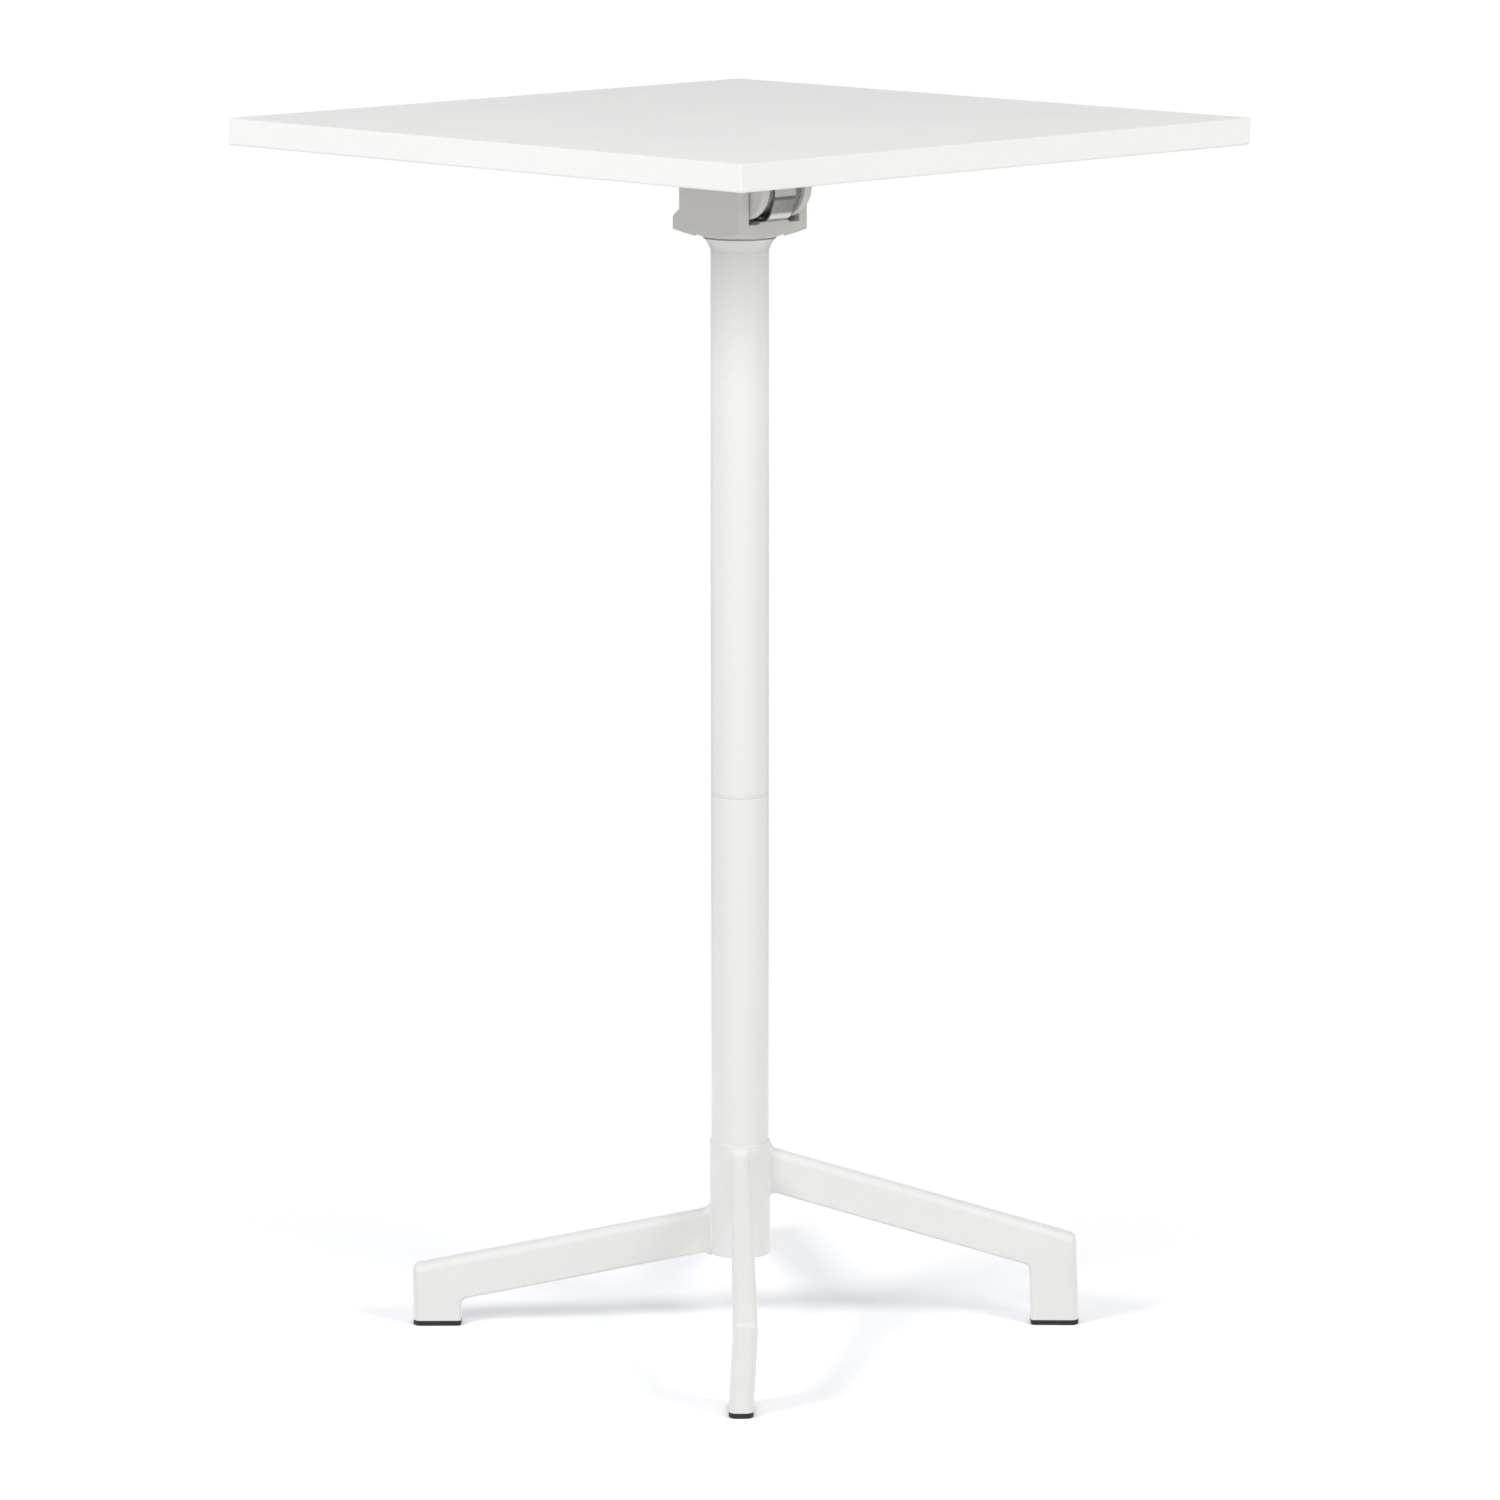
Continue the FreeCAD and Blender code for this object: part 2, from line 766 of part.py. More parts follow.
def arm_top(leg, r):
    return leg.root_top - math.tan(math.radians(leg.arm_angle)) * (r - hub_radius)


def arm_bottom(leg, r):
    return arm_top(leg, r) - arm_depth


def foot_inner(leg):
    return leg.foot_radius - foot_length / 2


def foot_outer(leg):
    return leg.foot_radius + foot_length / 2


def half_width(leg, r):
    share = (r - hub_radius) / (foot_outer(leg) - hub_radius)
    return (leg_root_width + (leg_width - leg_root_width) * share) / 2


def foot_corner(leg, r, line):
    # Where a leaning face of the foot, standing at r on its pad, meets a line of the arm
    slope = math.tan(math.radians(leg.arm_angle))
    lean = math.tan(math.radians(leg.lean_angle))
    height = (line(leg, r) - pad_height) / (1 - slope * lean)
    return r - lean * height, pad_height + height


def fold_level(leg):
    # The fold lies under the outer shoulder
    shoulder = foot_corner(leg, foot_outer(leg), arm_top)
    return shoulder[1] - foot_fold_drop


def side_shift(leg, z):
    # Below the fold the foot leans sideways
    return math.tan(math.radians(leg.splay_angle)) * min(z - fold_level(leg), 0.0)


def leg_turn(leg):
    # The arm is turned so that the middle of the foot pad lands on the azimuth
    shift = side_shift(leg, pad_height)
    return leg.azimuth - math.degrees(math.atan2(shift, leg.foot_radius))


def make_side_cut(leg, side):
    # All that lies outside one side of the leg
    start = side * half_width(leg, 0.0)
    reach = foot_outer(leg) + foot_length
    far = side * leg_width * 3
    top = leg.root_top + leg_width
    foot = start + side_shift(leg, 0.0)
    corners = [(start, top, 0.0), (foot, 0.0, 0.0), (far, 0.0, 0.0), (far, top, 0.0)]
    if leg.splay_angle != 0:
        corners.insert(1, (start, fold_level(leg), foot_fold_radius))
    section = rounded_face([(Vector(0, y, z), radius) for y, z, radius in corners])
    return section.extrude(Vector(reach, side * half_width(leg, reach) - start, 0))


def make_leg(leg):
    flare_end = hub_radius + root_flare_reach
    flare_start = hub_radius - root_flare_reach
    root_bottom = arm_bottom(leg, hub_radius) - root_flare
    root_top = arm_top(leg, hub_radius) + root_flare
    outer = foot_outer(leg)
    inner = foot_inner(leg)
    corners = [
        (flare_start, 2 * root_top - arm_top(leg, flare_end), 0.0),
        (flare_end, arm_top(leg, flare_end), root_flare_radius),
        (*foot_corner(leg, outer, arm_top), shoulder_radius),
        (outer, pad_height, 0.0),
        (inner, pad_height, 0.0),
        (*foot_corner(leg, inner, arm_bottom), knee_radius),
        (flare_end, arm_bottom(leg, flare_end), root_flare_radius),
        (flare_start, 2 * root_bottom - arm_bottom(leg, flare_end), 0.0),
    ]
    outline = [(Vector(r, -leg_width, z), radius) for r, z, radius in corners]
    body = rounded_face(outline).extrude(Vector(0, 2 * leg_width, 0))
    for side in (-1, 1):
        body = body.cut(make_side_cut(leg, side))

    def on_side(point):
        across = abs(point.y - side_shift(leg, point.z))
        return abs(across - half_width(leg, point.x)) < leg_lower_rounding / 10

    def along_side(edge):
        box = edge.BoundBox
        past_root = box.XMin > flare_start - 1e-4 and box.XMax > flare_start + 1e-3
        points = [edge.firstVertex().Point, edge.lastVertex().Point, edge.CenterOfMass]
        on_one_side = all(on_side(point) for point in points)
        return past_root and on_one_side and box.ZLength > 1e-3

    def below_middle(edge):
        middle = edge.BoundBox.Center
        inside = middle.x < outer - foot_length / 2
        return inside and middle.z < arm_top(leg, middle.x) - arm_depth / 2

    upper_edges = [edge for edge in edges_where(body, along_side) if not below_middle(edge)]
    body = body.makeFillet(leg_upper_rounding, upper_edges)
    lower_edges = [edge for edge in edges_where(body, along_side) if below_middle(edge)]
    body = body.makeFillet(leg_lower_rounding, lower_edges)
    body = body.cut(cylinder_z(hub_radius + weld_gap, 0, hub_top + 2 * root_flare))
    socket_radius = pad_stem_diameter / 2 + fit_gap
    socket_top = pad_height + pad_stem_length + foot_socket_gap
    x, y = stem_place(leg)
    body = body.cut(cylinder_z(socket_radius, pad_height, socket_top, x, y))
    body.rotate(Vector(0, 0, 0), Vector(0, 0, 1), leg_turn(leg))
    return body


def stem_place(leg):
    return leg.foot_radius, side_shift(leg, pad_height)


def make_foot_pad(leg):
    outer = foot_outer(leg)
    inner = foot_inner(leg)
    ends = [(-1, inner, leg_lower_rounding), (-1, outer, leg_upper_rounding)]
    ends += [(1, outer, leg_upper_rounding), (1, inner, leg_lower_rounding)]
    shift = side_shift(leg, pad_height)
    outline = []
    for side, r, radius in ends:
        outline.append((Vector(r, side * half_width(leg, r) + shift, pad_height), radius))
    pad = rounded_face(outline).extrude(Vector(0, 0, -pad_height))
    pad = pad.makeFillet(pad_rounding, edges_where(pad, lambda edge: at_level(edge, 0.0)))
    x, y = stem_place(leg)
    stem = cylinder_z(pad_stem_diameter / 2, pad_height, pad_height + pad_stem_length, x, y)
    pad = pad.fuse(stem).removeSplitter()
    pad.rotate(Vector(0, 0, 0), Vector(0, 0, 1), leg_turn(leg))
    return pad


high_root_top = hub_top - high_root_drop
low_root_top = hub_bottom + low_root_rise + arm_depth
high_leg = (high_root_top, high_arm_angle, high_foot_radius, high_foot_lean_angle)
low_leg = (low_root_top, low_arm_angle, low_foot_radius, 0.0, 0.0)

legs = {
    "front_left": Leg(-135, *high_leg, high_foot_splay_angle),
    "front_right": Leg(-45, *high_leg, -high_foot_splay_angle),
    "rear_right": Leg(45, *low_leg),
    "rear_left": Leg(135, *low_leg),
}

lower_screw, upper_screw = joiner_screw_levels()

nodes = {
    "table_top": make_table_top(),
    "threaded_inserts": make_threaded_inserts(),
    "bracket_screws": make_bracket_screws(),
    "hinge_bracket": make_hinge_bracket(),
    "detent_drum": make_detent_drum(),
    "drum_pins": make_drum_pins(),
    "hinge_bush_left": make_hinge_bush(-1),
    "hinge_bush_right": make_hinge_bush(1),
    "head_housing": make_head_housing(),
    "hinge_axle": make_hinge_axle(),
    "axle_plug": make_axle_plug(),
    "rest_bumpers": make_rest_bumpers(),
    "detent_spring": make_detent_spring(),
    "spring_screws": make_spring_screws(),
    "head_screws": make_head_screws(),
    "column_collar": make_column_collar(),
    "upper_tube": make_tube(seam_height, tube_top, upper_screw),
    "tube_joiner": make_tube_joiner(),
    "joiner_screws": make_joiner_screws(),
    "lower_tube": make_tube(hub_top, seam_height, lower_screw),
    "tie_rod": make_tie_rod(),
    "tie_rod_washer": make_tie_rod_washer(),
    "tie_rod_nut": make_tie_rod_nut(),
    "base_hub": make_hub(),
    "hub_cap": make_hub_cap(),
}

for place, leg in legs.items():
    nodes[place + "_leg"] = make_leg(leg)
    nodes[place + "_foot_pad"] = make_foot_pad(leg)

os.makedirs("parts", exist_ok=True)
for name, shape in nodes.items():
    shape.exportStep("parts/" + name + ".step")
    solids = len(shape.Solids)
    print(name, "solids", solids, "valid", shape.isValid(), "volume", round(shape.Volume))
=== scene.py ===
import bpy
import bmesh
import math
from mathutils import Matrix, Vector


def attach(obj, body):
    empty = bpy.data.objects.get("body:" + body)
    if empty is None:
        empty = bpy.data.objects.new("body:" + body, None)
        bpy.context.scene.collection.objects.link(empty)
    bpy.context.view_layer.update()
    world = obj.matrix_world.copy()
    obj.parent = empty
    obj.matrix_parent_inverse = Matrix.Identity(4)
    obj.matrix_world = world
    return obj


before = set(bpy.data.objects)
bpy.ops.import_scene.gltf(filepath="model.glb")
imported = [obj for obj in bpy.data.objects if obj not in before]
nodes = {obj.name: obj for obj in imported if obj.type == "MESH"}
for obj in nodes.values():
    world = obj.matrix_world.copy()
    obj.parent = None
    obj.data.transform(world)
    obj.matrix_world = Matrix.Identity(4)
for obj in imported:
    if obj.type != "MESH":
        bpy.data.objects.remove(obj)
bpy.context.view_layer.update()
print("frame loaded,", len(nodes), "nodes")


def tone(red, green, blue):
    # screen values 0-255 to the linear colour that a shader wants
    out = []
    for value in (red, green, blue):
        share = value / 255
        out.append(share / 12.92 if share <= 0.04045 else ((share + 0.055) / 1.055) ** 2.4)
    return (*out, 1.0)


def addNode(tree, kind, **values):
    node = tree.nodes.new(kind)
    for key, value in values.items():
        node.inputs[key.replace("_", " ")].default_value = value
    return node


def mixColour(tree, kind, second, factor):
    # a mix of two colours whose first one is still to be set
    mix = tree.nodes.new("ShaderNodeMix")
    mix.data_type = "RGBA"
    mix.blend_type = kind
    mix.inputs["B"].default_value = second
    tree.links.new(factor, mix.inputs["Factor"])
    return mix


# finishes

surfacePattern = {           # shared by all finishes
    "patchDetail": 3.0, "patchRoughness": 0.55,
    "grainDetail": 2.0, "grainRoughness": 0.6,
    "fleckFrom": 0.45, "fleckTo": 0.75,      # grain values between which the flecks come in
    "glossFrom": 0.3, "glossTo": 0.7,        # patch values between which the gloss changes
    "edgeSamples": 4, "softEdge": 0.0004,
}


def paintJointShade(tree, place, colour, joint):
    # painted shade: the coat darkens in a short run down to a joint line, where shade falls at the crease,
    # and stops there
    link = tree.links.new
    spot = tree.nodes.new("ShaderNodeSeparateXYZ")
    link(place.outputs["Object"], spot.inputs["Vector"])
    run = addNode(tree, "ShaderNodeMapRange",
                  From_Min=joint["level"], From_Max=joint["level"] + joint["run"], To_Min=1.0, To_Max=0.0)
    link(spot.outputs["Z"], run.inputs["Value"])
    above = tree.nodes.new("ShaderNodeMath")
    above.operation = "GREATER_THAN"
    above.inputs[1].default_value = joint["level"]
    link(spot.outputs["Z"], above.inputs[0])
    amount = tree.nodes.new("ShaderNodeMath")
    amount.operation = "MULTIPLY"
    link(run.outputs["Result"], amount.inputs[0])
    link(above.outputs["Value"], amount.inputs[1])
    shade = mixColour(tree, "MULTIPLY", joint["shade"], amount.outputs["Value"])
    link(colour, shade.inputs["A"])
    return shade.outputs["Result"]


def finish(name, look):
    # one surface: two close colours in soft patches, fine grain, uneven gloss
    material = bpy.data.materials.new(name)
    material.use_nodes = True
    tree = material.node_tree
    tree.nodes.clear()
    link = tree.links.new
    end = tree.nodes.new("ShaderNodeOutputMaterial")
    pattern = surfacePattern
    skin = addNode(tree, "ShaderNodeBsdfPrincipled", Metallic=look["metal"])
    skin.inputs["Specular IOR Level"].default_value = look.get("specular", 0.5)
    skin.inputs["Anisotropic"].default_value = look.get("anisotropic", 0.0)
    place = tree.nodes.new("ShaderNodeTexCoord")
    stretch = addNode(tree, "ShaderNodeMapping", Scale=look.get("stretch", (1, 1, 1)))
    link(place.outputs["Object"], stretch.inputs["Vector"])

    patch = addNode(tree, "ShaderNodeTexNoise", Scale=1 / look["patchSize"],
                    Detail=pattern["patchDetail"], Roughness=pattern["patchRoughness"])
    link(place.outputs["Object"], patch.inputs["Vector"])
    grain = addNode(tree, "ShaderNodeTexNoise", Scale=1 / look["grainSize"],
                    Detail=pattern["grainDetail"], Roughness=pattern["grainRoughness"])
    link(stretch.outputs["Vector"], grain.inputs["Vector"])

    blend = mixColour(tree, "MIX", look["colourTwo"], patch.outputs["Fac"])
    blend.inputs["A"].default_value = look["colour"]
    strength = addNode(tree, "ShaderNodeMapRange",
                       From_Min=pattern["fleckFrom"], From_Max=pattern["fleckTo"])
    link(grain.outputs["Fac"], strength.inputs["Value"])
    fleck = mixColour(tree, "MULTIPLY", look["fleck"], strength.outputs["Result"])
    link(blend.outputs["Result"], fleck.inputs["A"])
    colour = fleck.outputs["Result"]
    # painted shade above a joint line, for a look that asks for it
    if "paintedJointShade" in look:
        colour = paintJointShade(tree, place, colour, look["paintedJointShade"])
    link(colour, skin.inputs["Base Color"])

    low, high = look["roughness"]
    gloss = addNode(tree, "ShaderNodeMapRange", From_Min=pattern["glossFrom"], From_Max=pattern["glossTo"],
                    To_Min=low, To_Max=high)
    link(patch.outputs["Fac"], gloss.inputs["Value"])
    link(gloss.outputs["Result"], skin.inputs["Roughness"])

    edge = tree.nodes.new("ShaderNodeBevel")
    edge.samples = pattern["edgeSamples"]
    edge.inputs["Radius"].default_value = look.get("softEdge", pattern["softEdge"])
    relief = addNode(tree, "ShaderNodeBump", Strength=look["grainStrength"], Distance=look["grainDepth"])
    link(grain.outputs["Fac"], relief.inputs["Height"])
    link(edge.outputs["Normal"], relief.inputs["Normal"])
    link(relief.outputs["Normal"], skin.inputs["Normal"])
    link(skin.outputs["BSDF"], end.inputs["Surface"])
    return material


boardLook = {
    "metal": 0.0, "specular": 0.45,
    "colour": tone(242, 242, 240), "colourTwo": tone(238, 238, 237), "fleck": tone(252, 252, 252),
    "patchSize": 0.09, "grainSize": 0.0016, "grainStrength": 0.22, "grainDepth": 0.00025,
    "roughness": (0.46, 0.52), "softEdge": 0.0006,
}
coatLook = {
    "metal": 0.0, "specular": 0.5,
    "colour": tone(235, 235, 234), "colourTwo": tone(232, 232, 231), "fleck": tone(251, 251, 251),
    "patchSize": 0.05, "grainSize": 0.0009, "grainStrength": 0.25, "grainDepth": 0.00018,
    "roughness": (0.36, 0.46), "softEdge": 0.0007,
    # painted shade: the coat made darker over the 6 mm above the tube joint line
    "paintedJointShade": {"level": 0.474, "run": 0.006, "shade": (0.93, 0.93, 0.93, 1.0)},   # metres
}
mouldedLook = {
    "metal": 0.0, "specular": 0.4,
    "colour": tone(223, 221, 217), "colourTwo": tone(215, 213, 209), "fleck": tone(238, 238, 238),
    "patchSize": 0.018, "grainSize": 0.0006, "grainStrength": 0.35, "grainDepth": 0.00016,
    "roughness": (0.5, 0.64), "softEdge": 0.0008,
}
drumLook = {
    "metal": 0.0, "specular": 0.45,
    "colour": tone(146, 145, 143), "colourTwo": tone(136, 135, 133), "fleck": tone(230, 230, 230),
    "patchSize": 0.012, "grainSize": 0.0008, "grainStrength": 0.2, "grainDepth": 0.0001,
    "stretch": (1.0, 0.15, 0.15), "roughness": (0.32, 0.46),
}
bushLook = {
    "metal": 0.0, "specular": 0.5,
    "colour": tone(228, 226, 216), "colourTwo": tone(220, 218, 207), "fleck": tone(244, 244, 240),
    "patchSize": 0.006, "grainSize": 0.0005, "grainStrength": 0.12, "grainDepth": 0.00006,
    "roughness": (0.28, 0.4),
}
rubberLook = {
    "metal": 0.0, "specular": 0.35,
    "colour": tone(46, 47, 49), "colourTwo": tone(38, 39, 41), "fleck": tone(205, 205, 205),
    "patchSize": 0.008, "grainSize": 0.0005, "grainStrength": 0.5, "grainDepth": 0.0002,
    "roughness": (0.62, 0.82),
}
capLook = {
    "metal": 0.0, "specular": 0.4,
    "colour": tone(44, 44, 45), "colourTwo": tone(36, 36, 37), "fleck": tone(215, 215, 215),
    "patchSize": 0.01, "grainSize": 0.0007, "grainStrength": 0.4, "grainDepth": 0.00015,
    "roughness": (0.48, 0.6),
}
springLook = {
    "metal": 1.0, "anisotropic": 0.6,
    "colour": tone(208, 207, 205), "colourTwo": tone(200, 199, 197), "fleck": tone(232, 232, 232),
    "patchSize": 0.009, "grainSize": 0.0007, "grainStrength": 0.12, "grainDepth": 0.00004,
    "stretch": (3.0, 0.05, 0.05), "roughness": (0.2, 0.26), "softEdge": 0.0003,
}
zincLook = {
    "metal": 0.6,
    "colour": tone(190, 191, 193), "colourTwo": tone(174, 176, 180), "fleck": tone(222, 222, 222),
    "patchSize": 0.004, "grainSize": 0.0004, "grainStrength": 0.25, "grainDepth": 0.00005,
    "roughness": (0.44, 0.6), "softEdge": 0.0003,
}
brassLook = {
    "metal": 1.0,
    "colour": tone(214, 184, 112), "colourTwo": tone(196, 164, 92), "fleck": tone(225, 220, 210),
    "patchSize": 0.005, "grainSize": 0.0005, "grainStrength": 0.25, "grainDepth": 0.00005,
    "roughness": (0.28, 0.42), "softEdge": 0.0003,
}
machinedLook = {
    "metal": 1.0, "anisotropic": 0.3,
    "colour": tone(206, 207, 210), "colourTwo": tone(192, 193, 197), "fleck": tone(225, 225, 225),
    "patchSize": 0.02, "grainSize": 0.0006, "grainStrength": 0.3, "grainDepth": 0.00005,
    "stretch": (0.1, 0.1, 1.0), "roughness": (0.3, 0.42),
}

finishes = {
    "board": finish("white_board_finish", boardLook),
    "coat": finish("white_coat_finish", coatLook),
    "moulded": finish("grey_moulding_finish", mouldedLook),
    "drum": finish("drum_finish", drumLook),
    "bush": finish("bush_finish", bushLook),
    "rubber": finish("pad_rubber_finish", rubberLook),
    "cap": finish("cap_finish", capLook),
    "spring": finish("spring_strip_finish", springLook),
    "zinc": finish("zinc_finish", zincLook),
    "brass": finish("insert_brass_finish", brassLook),
    "machined": finish("machined_finish", machinedLook),
}
print("finishes made:", len(finishes))

legPlaces = ("front_left", "front_right", "rear_right", "rear_left")

nodeFinish = {
    "table_top": "board", "threaded_inserts": "brass", "bracket_screws": "zinc",
    "hinge_bracket": "moulded", "detent_drum": "drum", "drum_pins": "zinc",
    "hinge_bush_left": "bush", "hinge_bush_right": "bush",
    "head_housing": "moulded", "hinge_axle": "zinc", "axle_plug": "moulded", "rest_bumpers": "rubber",
    "detent_spring": "spring", "spring_screws": "zinc", "head_screws": "zinc",
    "column_collar": "coat", "upper_tube": "coat", "lower_tube": "coat", "base_hub": "coat",
    "tube_joiner": "machined", "joiner_screws": "zinc",
    "tie_rod": "zinc", "tie_rod_washer": "zinc", "tie_rod_nut": "zinc", "hub_cap": "cap",
}
for place in legPlaces:
    nodeFinish[place + "_leg"] = "coat"
    nodeFinish[place + "_foot_pad"] = "rubber"

for nodeName, finishName in nodeFinish.items():
    body = nodes[nodeName]
    for part in body.material_slots:
        part.material = finishes[finishName]
print("nodes dressed:", len(nodeFinish), "of", len(nodes))


# hollow weld fillets round the leg roots, under the white coat

weldFillet = {
    "hubRadius": 0.0263, "hubBottom": 0.0658,
    "reach": 0.0028,         # along the hub and along the leg
    "sink": 0.0001,          # into the metal at both edges
    "depth": 0.0005,         # of the closed back, inside the metal
    "runOut": 0.004,         # where a fillet ends at the bottom of the hub
    "leastReach": 0.1,       # share of the reach that is left there
    "steps": 8,              # of the hollow curve
    "spacing": 0.0008,       # of the sections round a root
    "halfWidth": 0.0085, "upperRounding": 0.007, "lowerRounding": 0.003,
    # lowest and highest level in metres, fall of the top and rise of the underside in degrees
    "highRoot": {"low": 0.1172, "high": 0.1627, "fall": 46.9, "rise": 26.0},
    "lowRoot": {"low": 0.063, "high": 0.1085, "fall": 44.2, "rise": 30.2},
    "arms": {                # azimuth in degrees, and the kind of root
        "front_left": (-134.267, "highRoot"), "front_right": (-45.733, "highRoot"),
        "rear_right": (45.0, "lowRoot"), "rear_left": (135.0, "lowRoot"),
    },
}


def cornerRun(level, tilt, side, rounding):
    # half of the top (side 1) or underside (side -1) of a leg root, from the middle out to the leg's side
    radius, half, spacing = weldFillet["hubRadius"], weldFillet["halfWidth"], weldFillet["spacing"]
    face = Vector((math.sin(tilt), 0, side * math.cos(tilt)))
    along = Vector((math.cos(tilt), 0, -side * math.sin(tilt)))
    offset = radius * face.x + level * face.z
    flat, bend = half - rounding, rounding * math.pi / 2
    flatCount, bendCount = max(1, round(flat / spacing)), max(4, round(bend / spacing))
    places = [(flat * index / flatCount, 0.0) for index in range(flatCount)]
    turns = [math.pi / 2 * index / bendCount for index in range(bendCount + 1)]
    places += [(flat + rounding * math.sin(turn), turn) for turn in turns]
    run = []
    for across, turn in places:
        reach = math.sqrt(radius ** 2 - across ** 2)
        height = (offset - rounding * (1 - math.cos(turn)) - reach * face.x) / face.z
        normal = face * math.cos(turn) + Vector((0, math.sin(turn), 0))
        run.append((Vector((reach, across, height)), normal, along))
    return run


def rootOutline(root):
    # (spot, leg normal, direction along the leg) once round a leg root, for a leg along X
    under = cornerRun(root["low"], math.radians(root["rise"]), -1, weldFillet["lowerRounding"])
    above = cornerRun(root["high"], math.radians(root["fall"]), 1, weldFillet["upperRounding"])[::-1]
    lower, upper = under[-1], above[0]
    count = round((upper[0].z - lower[0].z) / weldFillet["spacing"] / 2)
    side = []
    for index in range(1, count):
        share = index / count
        side.append((lower[0].lerp(upper[0], share), lower[1], lower[2].lerp(upper[2], share).normalized()))
    half = under + side + above
    flip = Vector((1, -1, 1))
    return half + [(spot * flip, normal * flip, along) for spot, normal, along in half[-2:0:-1]]


def filletSection(before, here, after, reach):
    # hollow curve from the hub to the leg, closed by a point inside the metal
    corner, normal, along = here
    outward = Vector((corner.x, corner.y, 0)).normalized()
    away = (after[0] - before[0]).cross(outward).normalized()
    if away.dot(normal) < 0:
        away = -away
    onHub = corner + away * reach
    shrink = (weldFillet["hubRadius"] - weldFillet["sink"]) / math.hypot(onHub.x, onHub.y)
    onHub = Vector((onHub.x * shrink, onHub.y * shrink, onHub.z))
    onLeg = corner + along * reach - normal * weldFillet["sink"]
    section = []
    for step in range(weldFillet["steps"] + 1):
        share = step / weldFillet["steps"]
        section.append(onHub * (1 - share) ** 2 + corner * 2 * share * (1 - share) + onLeg * share ** 2)
    section.append(corner - (outward + normal) * weldFillet["depth"])
    return section


def makeWeldFillet(place, azimuth, kind):
    outline = rootOutline(weldFillet[kind])
    count = len(outline)
    mesh = bmesh.new()
    rings = []
    for index in range(count):
        clear = outline[index][0].z - weldFillet["hubBottom"]
        if clear > 0:
            share = max(weldFillet["leastReach"], min(1.0, clear / weldFillet["runOut"]))
            reach = weldFillet["reach"] * share
            section = filletSection(outline[index - 1], outline[index], outline[(index + 1) % count], reach)
            rings.append([mesh.verts.new(spot) for spot in section])
    closed = len(rings) == count
    around = len(rings[0])
    for here, ahead in zip(rings, rings[1:] + (rings[:1] if closed else [])):
        for spoke in range(around):
            beside = (spoke + 1) % around
            face = mesh.faces.new((here[spoke], ahead[spoke], ahead[beside], here[beside]))
            face.smooth = spoke < weldFillet["steps"]
    if not closed:
        mesh.faces.new(rings[0])
        mesh.faces.new(rings[-1])
    bmesh.ops.recalc_face_normals(mesh, faces=mesh.faces)
    bmesh.ops.rotate(mesh, verts=mesh.verts, matrix=Matrix.Rotation(math.radians(azimuth), 3, "Z"))
    data = bpy.data.meshes.new("weld_" + place)
    mesh.to_mesh(data)
    mesh.free()
    piece = bpy.data.objects.new("weld_" + place, data)
    bpy.context.scene.collection.objects.link(piece)
    data.materials.append(finishes["coat"])
    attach(piece, "base")
    return piece


welds = [makeWeldFillet(place, *arm) for place, arm in weldFillet["arms"].items()]
print("weld fillets:", len(welds))


# floor, light and camera

floorLook = {
    "reach": 12.0, "sides": 96,
    "centre": (-0.16, -0.06, 0.0),
    "bounce": tone(219, 219, 219),         # what the object sees of the floor
    "glow": 0.135,                         # the floor's own light, on the object alone
    "shown": (1.225, 1.239, 1.275, 1.0),   # what the camera sees, so the open floor is white
    "fadeStart": 0.36, "fadeEnd": 0.75,    # metres from the centre
    "mirrorReach": 10.0,
    "mirrorLevel": 1.25,
    "mirrorBlue": 0.98,                    # share of blue against red and green
    "mirror": {                            # brightness in bright metal, by share of the reach
        0.126: 1.0, 0.155: 0.42, 0.21: 0.17, 0.55: 0.16, 0.8: 0.5,
    },
}


def eitherRay(tree, first, second):
    # 1 for both kinds of ray
    rays = tree.nodes.new("ShaderNodeLightPath")
    more = tree.nodes.new("ShaderNodeMath")
    more.operation = "MAXIMUM"
    tree.links.new(rays.outputs[first], more.inputs[0])
    tree.links.new(rays.outputs[second], more.inputs[1])
    return more.outputs["Value"]


def mirrorFloor(tree, distance):
    # the studio floor as bright metal shows it: pale sweep, darker ring, pale wall
    share = addNode(tree, "ShaderNodeMapRange", From_Max=floorLook["mirrorReach"])
    tree.links.new(distance, share.inputs["Value"])
    ramp = tree.nodes.new("ShaderNodeValToRGB")
    stops = ramp.color_ramp.elements
    middle = 0.5
    while len(stops) < len(floorLook["mirror"]):
        stops.new(middle)
    for stop, (position, level) in zip(stops, floorLook["mirror"].items()):
        stop.position = position
        stop.color = (level, level, level * floorLook["mirrorBlue"], 1.0)
    tree.links.new(share.outputs["Result"], ramp.inputs["Fac"])
    glow = addNode(tree, "ShaderNodeEmission", Strength=floorLook["mirrorLevel"])
    tree.links.new(ramp.outputs["Color"], glow.inputs["Color"])
    return glow.outputs["Emission"]


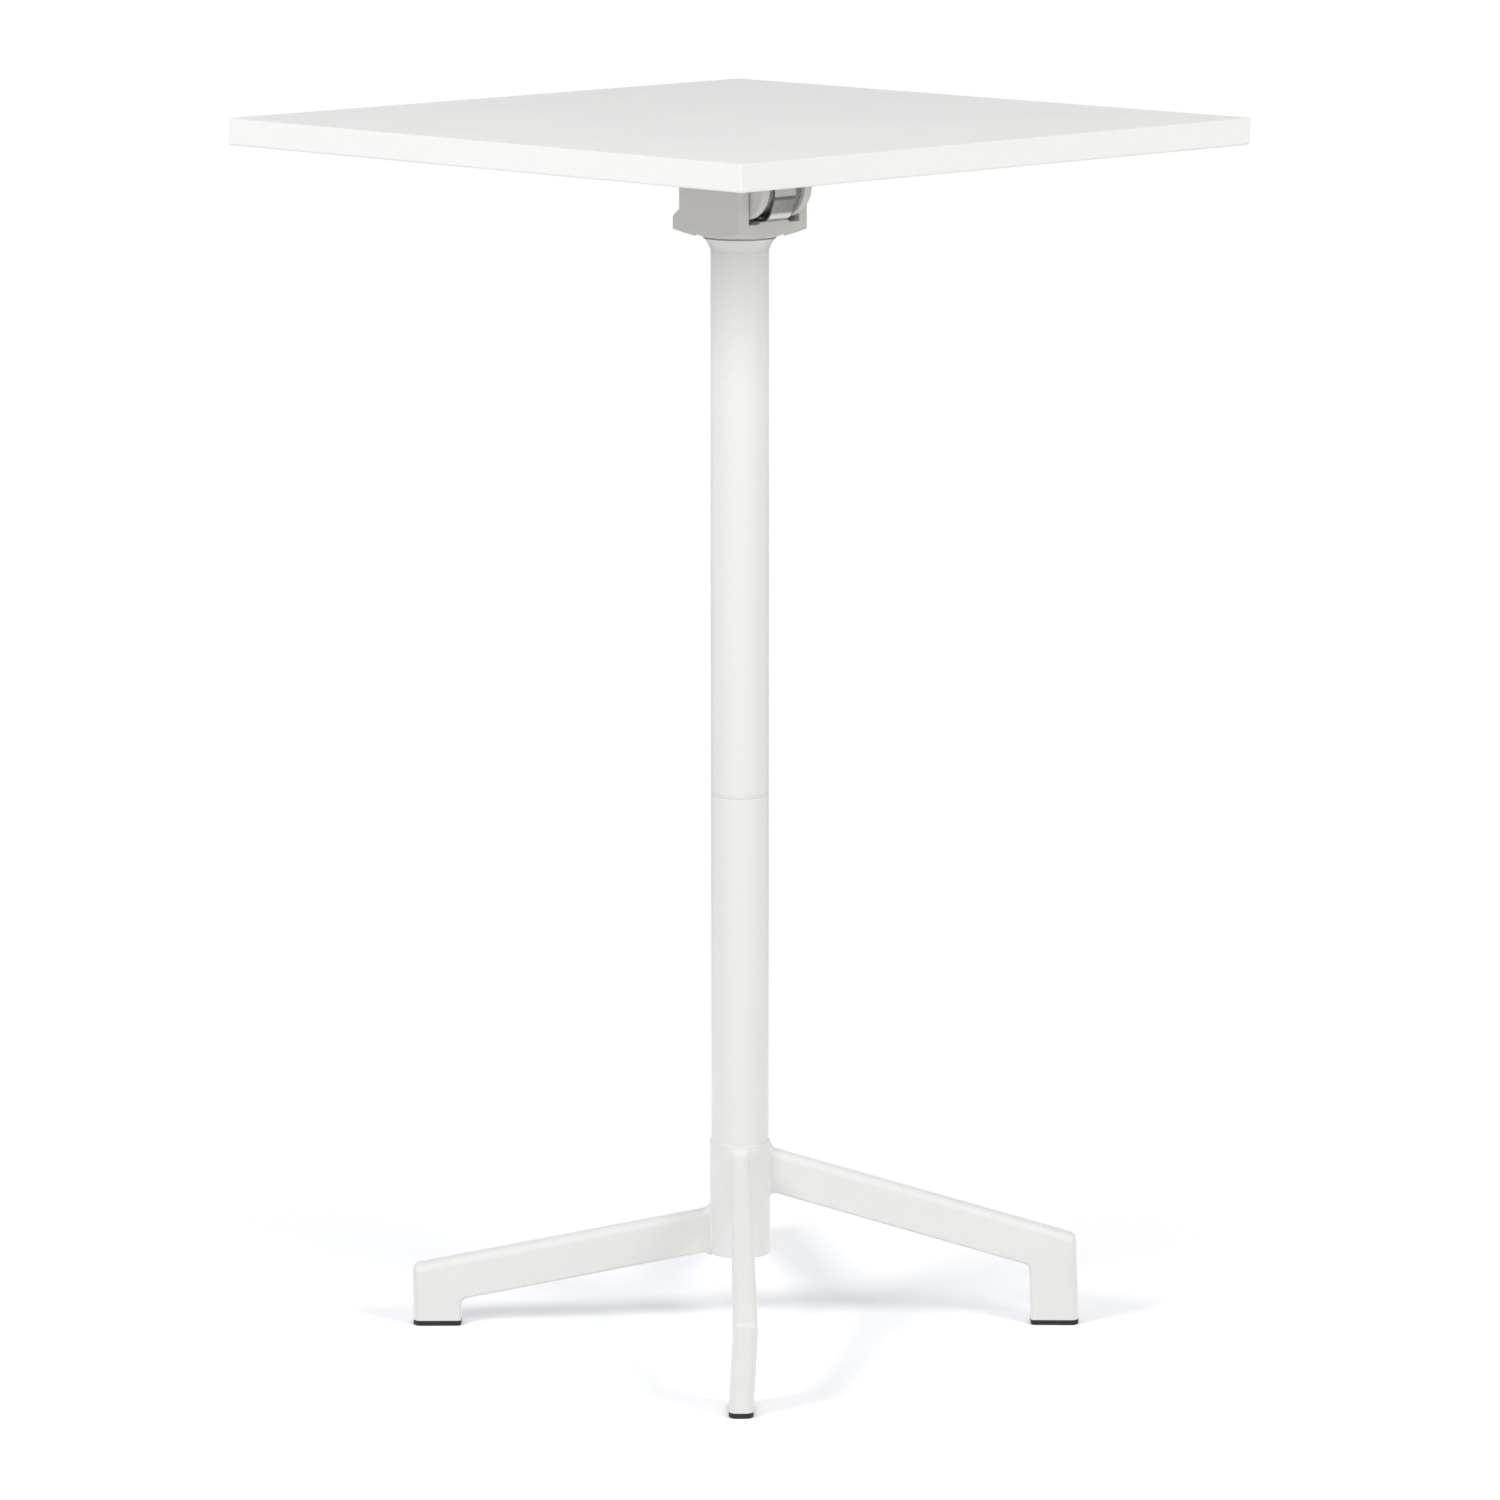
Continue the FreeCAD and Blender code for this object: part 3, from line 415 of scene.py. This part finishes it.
def makeFloor():
    bpy.ops.mesh.primitive_circle_add(vertices=floorLook["sides"], radius=floorLook["reach"],
                                      fill_type="NGON", location=floorLook["centre"])
    floor = bpy.context.object
    floor.name = "floor"
    material = bpy.data.materials.new("floor_white")
    material.use_nodes = True
    tree = material.node_tree
    tree.nodes.clear()
    link = tree.links.new
    end = tree.nodes.new("ShaderNodeOutputMaterial")
    bounce = addNode(tree, "ShaderNodeBsdfDiffuse", Color=floorLook["bounce"])
    shown = addNode(tree, "ShaderNodeBsdfDiffuse", Color=floorLook["shown"])
    glow = addNode(tree, "ShaderNodeEmission", Color=(1, 1, 1, 1), Strength=floorLook["glow"])
    white = addNode(tree, "ShaderNodeEmission", Color=(1, 1, 1, 1), Strength=1.0)
    place = tree.nodes.new("ShaderNodeTexCoord")
    away = tree.nodes.new("ShaderNodeVectorMath")
    away.operation = "LENGTH"
    link(place.outputs["Object"], away.inputs[0])
    fade = addNode(tree, "ShaderNodeMapRange",
                   From_Min=floorLook["fadeStart"], From_Max=floorLook["fadeEnd"])
    fade.interpolation_type = "SMOOTHSTEP"
    link(away.outputs["Value"], fade.inputs["Value"])
    near = tree.nodes.new("ShaderNodeMixShader")
    link(fade.outputs["Result"], near.inputs["Fac"])
    link(shown.outputs["BSDF"], near.inputs[1])
    link(white.outputs["Emission"], near.inputs[2])
    lit = tree.nodes.new("ShaderNodeAddShader")
    link(bounce.outputs["BSDF"], lit.inputs[0])
    link(glow.outputs["Emission"], lit.inputs[1])
    rays = tree.nodes.new("ShaderNodeLightPath")
    unseen = tree.nodes.new("ShaderNodeMixShader")
    link(rays.outputs["Is Glossy Ray"], unseen.inputs["Fac"])
    link(lit.outputs["Shader"], unseen.inputs[1])
    link(mirrorFloor(tree, away.outputs["Value"]), unseen.inputs[2])
    both = tree.nodes.new("ShaderNodeMixShader")
    link(eitherRay(tree, "Is Camera Ray", "Is Transmission Ray"), both.inputs["Fac"])
    link(unseen.outputs["Shader"], both.inputs[1])
    link(near.outputs["Shader"], both.inputs[2])
    link(both.outputs["Shader"], end.inputs["Surface"])
    floor.data.materials.append(material)


studio = {
    "sky": 0.5,
    "skyColour": (0.98, 0.99, 1.0, 1.0),
    "boxes": {   # place, size, watts, colour
        "left_box": ((-3.12, 0.33, 2.4), 1.3, 52.5, (1.0, 0.995, 0.985)),
        "front_fill": ((-2.6, -2.6, 1.4), 0.5, 5.0, (1.0, 0.98, 0.95)),
        "right_box": ((0.33, -3.12, 2.4), 1.3, 41.0, (1.0, 0.98, 0.96)),
        "right_fill": ((0.45, -3.3, 1.1), 0.9, 5.4, (1.0, 0.92, 0.8)),
    },
    "aim": (0.0, 0.0, 0.75),
}


def makeLight():
    world = bpy.data.worlds.new("studio_sky")
    bpy.context.scene.world = world
    world.use_nodes = True
    tree = world.node_tree
    tree.nodes.clear()
    link = tree.links.new
    end = tree.nodes.new("ShaderNodeOutputWorld")
    sky = addNode(tree, "ShaderNodeBackground", Color=studio["skyColour"], Strength=studio["sky"])
    shown = addNode(tree, "ShaderNodeBackground", Color=(1, 1, 1, 1), Strength=1.0)
    both = tree.nodes.new("ShaderNodeMixShader")
    link(eitherRay(tree, "Is Camera Ray", "Is Glossy Ray"), both.inputs["Fac"])
    link(sky.outputs["Background"], both.inputs[1])
    link(shown.outputs["Background"], both.inputs[2])
    link(both.outputs["Shader"], end.inputs["Surface"])
    for boxName, (where, size, watts, colour) in studio["boxes"].items():
        lamp = bpy.data.lights.new(boxName, "AREA")
        lamp.shape = "DISK"
        lamp.size = size
        lamp.energy = watts
        lamp.color = colour
        holder = bpy.data.objects.new(boxName, lamp)
        bpy.context.scene.collection.objects.link(holder)
        holder.location = where
        aim = Vector(studio["aim"]) - Vector(where)
        holder.rotation_euler = aim.to_track_quat("-Z", "Y").to_euler()


photoView = {
    "place": (-3.81766, -3.79765, 1.50825),
    "heading": 0.78965,      # radians from +Y towards +X
    "downward": 0.18276,     # radians below level
    "focalPixels": 6319.56,  # for a picture 1500 pixels wide
    "pictureWidth": 1500,
    "sensorWidth": 36.0,     # millimetres
    "farthest": 100.0,       # metres
}


def makeCamera():
    lens = bpy.data.cameras.new("photo_camera")
    lens.sensor_width = photoView["sensorWidth"]
    lens.lens = photoView["focalPixels"] * photoView["sensorWidth"] / photoView["pictureWidth"]
    lens.clip_end = photoView["farthest"]
    camera = bpy.data.objects.new("photo_camera", lens)
    bpy.context.scene.collection.objects.link(camera)
    camera.location = photoView["place"]
    camera.rotation_euler = (math.pi / 2 - photoView["downward"], 0.0, -photoView["heading"])
    bpy.context.scene.camera = camera


makeFloor()
makeLight()
makeCamera()
bpy.context.scene.view_settings.view_transform = "Standard"
print("floor, light and camera in place")
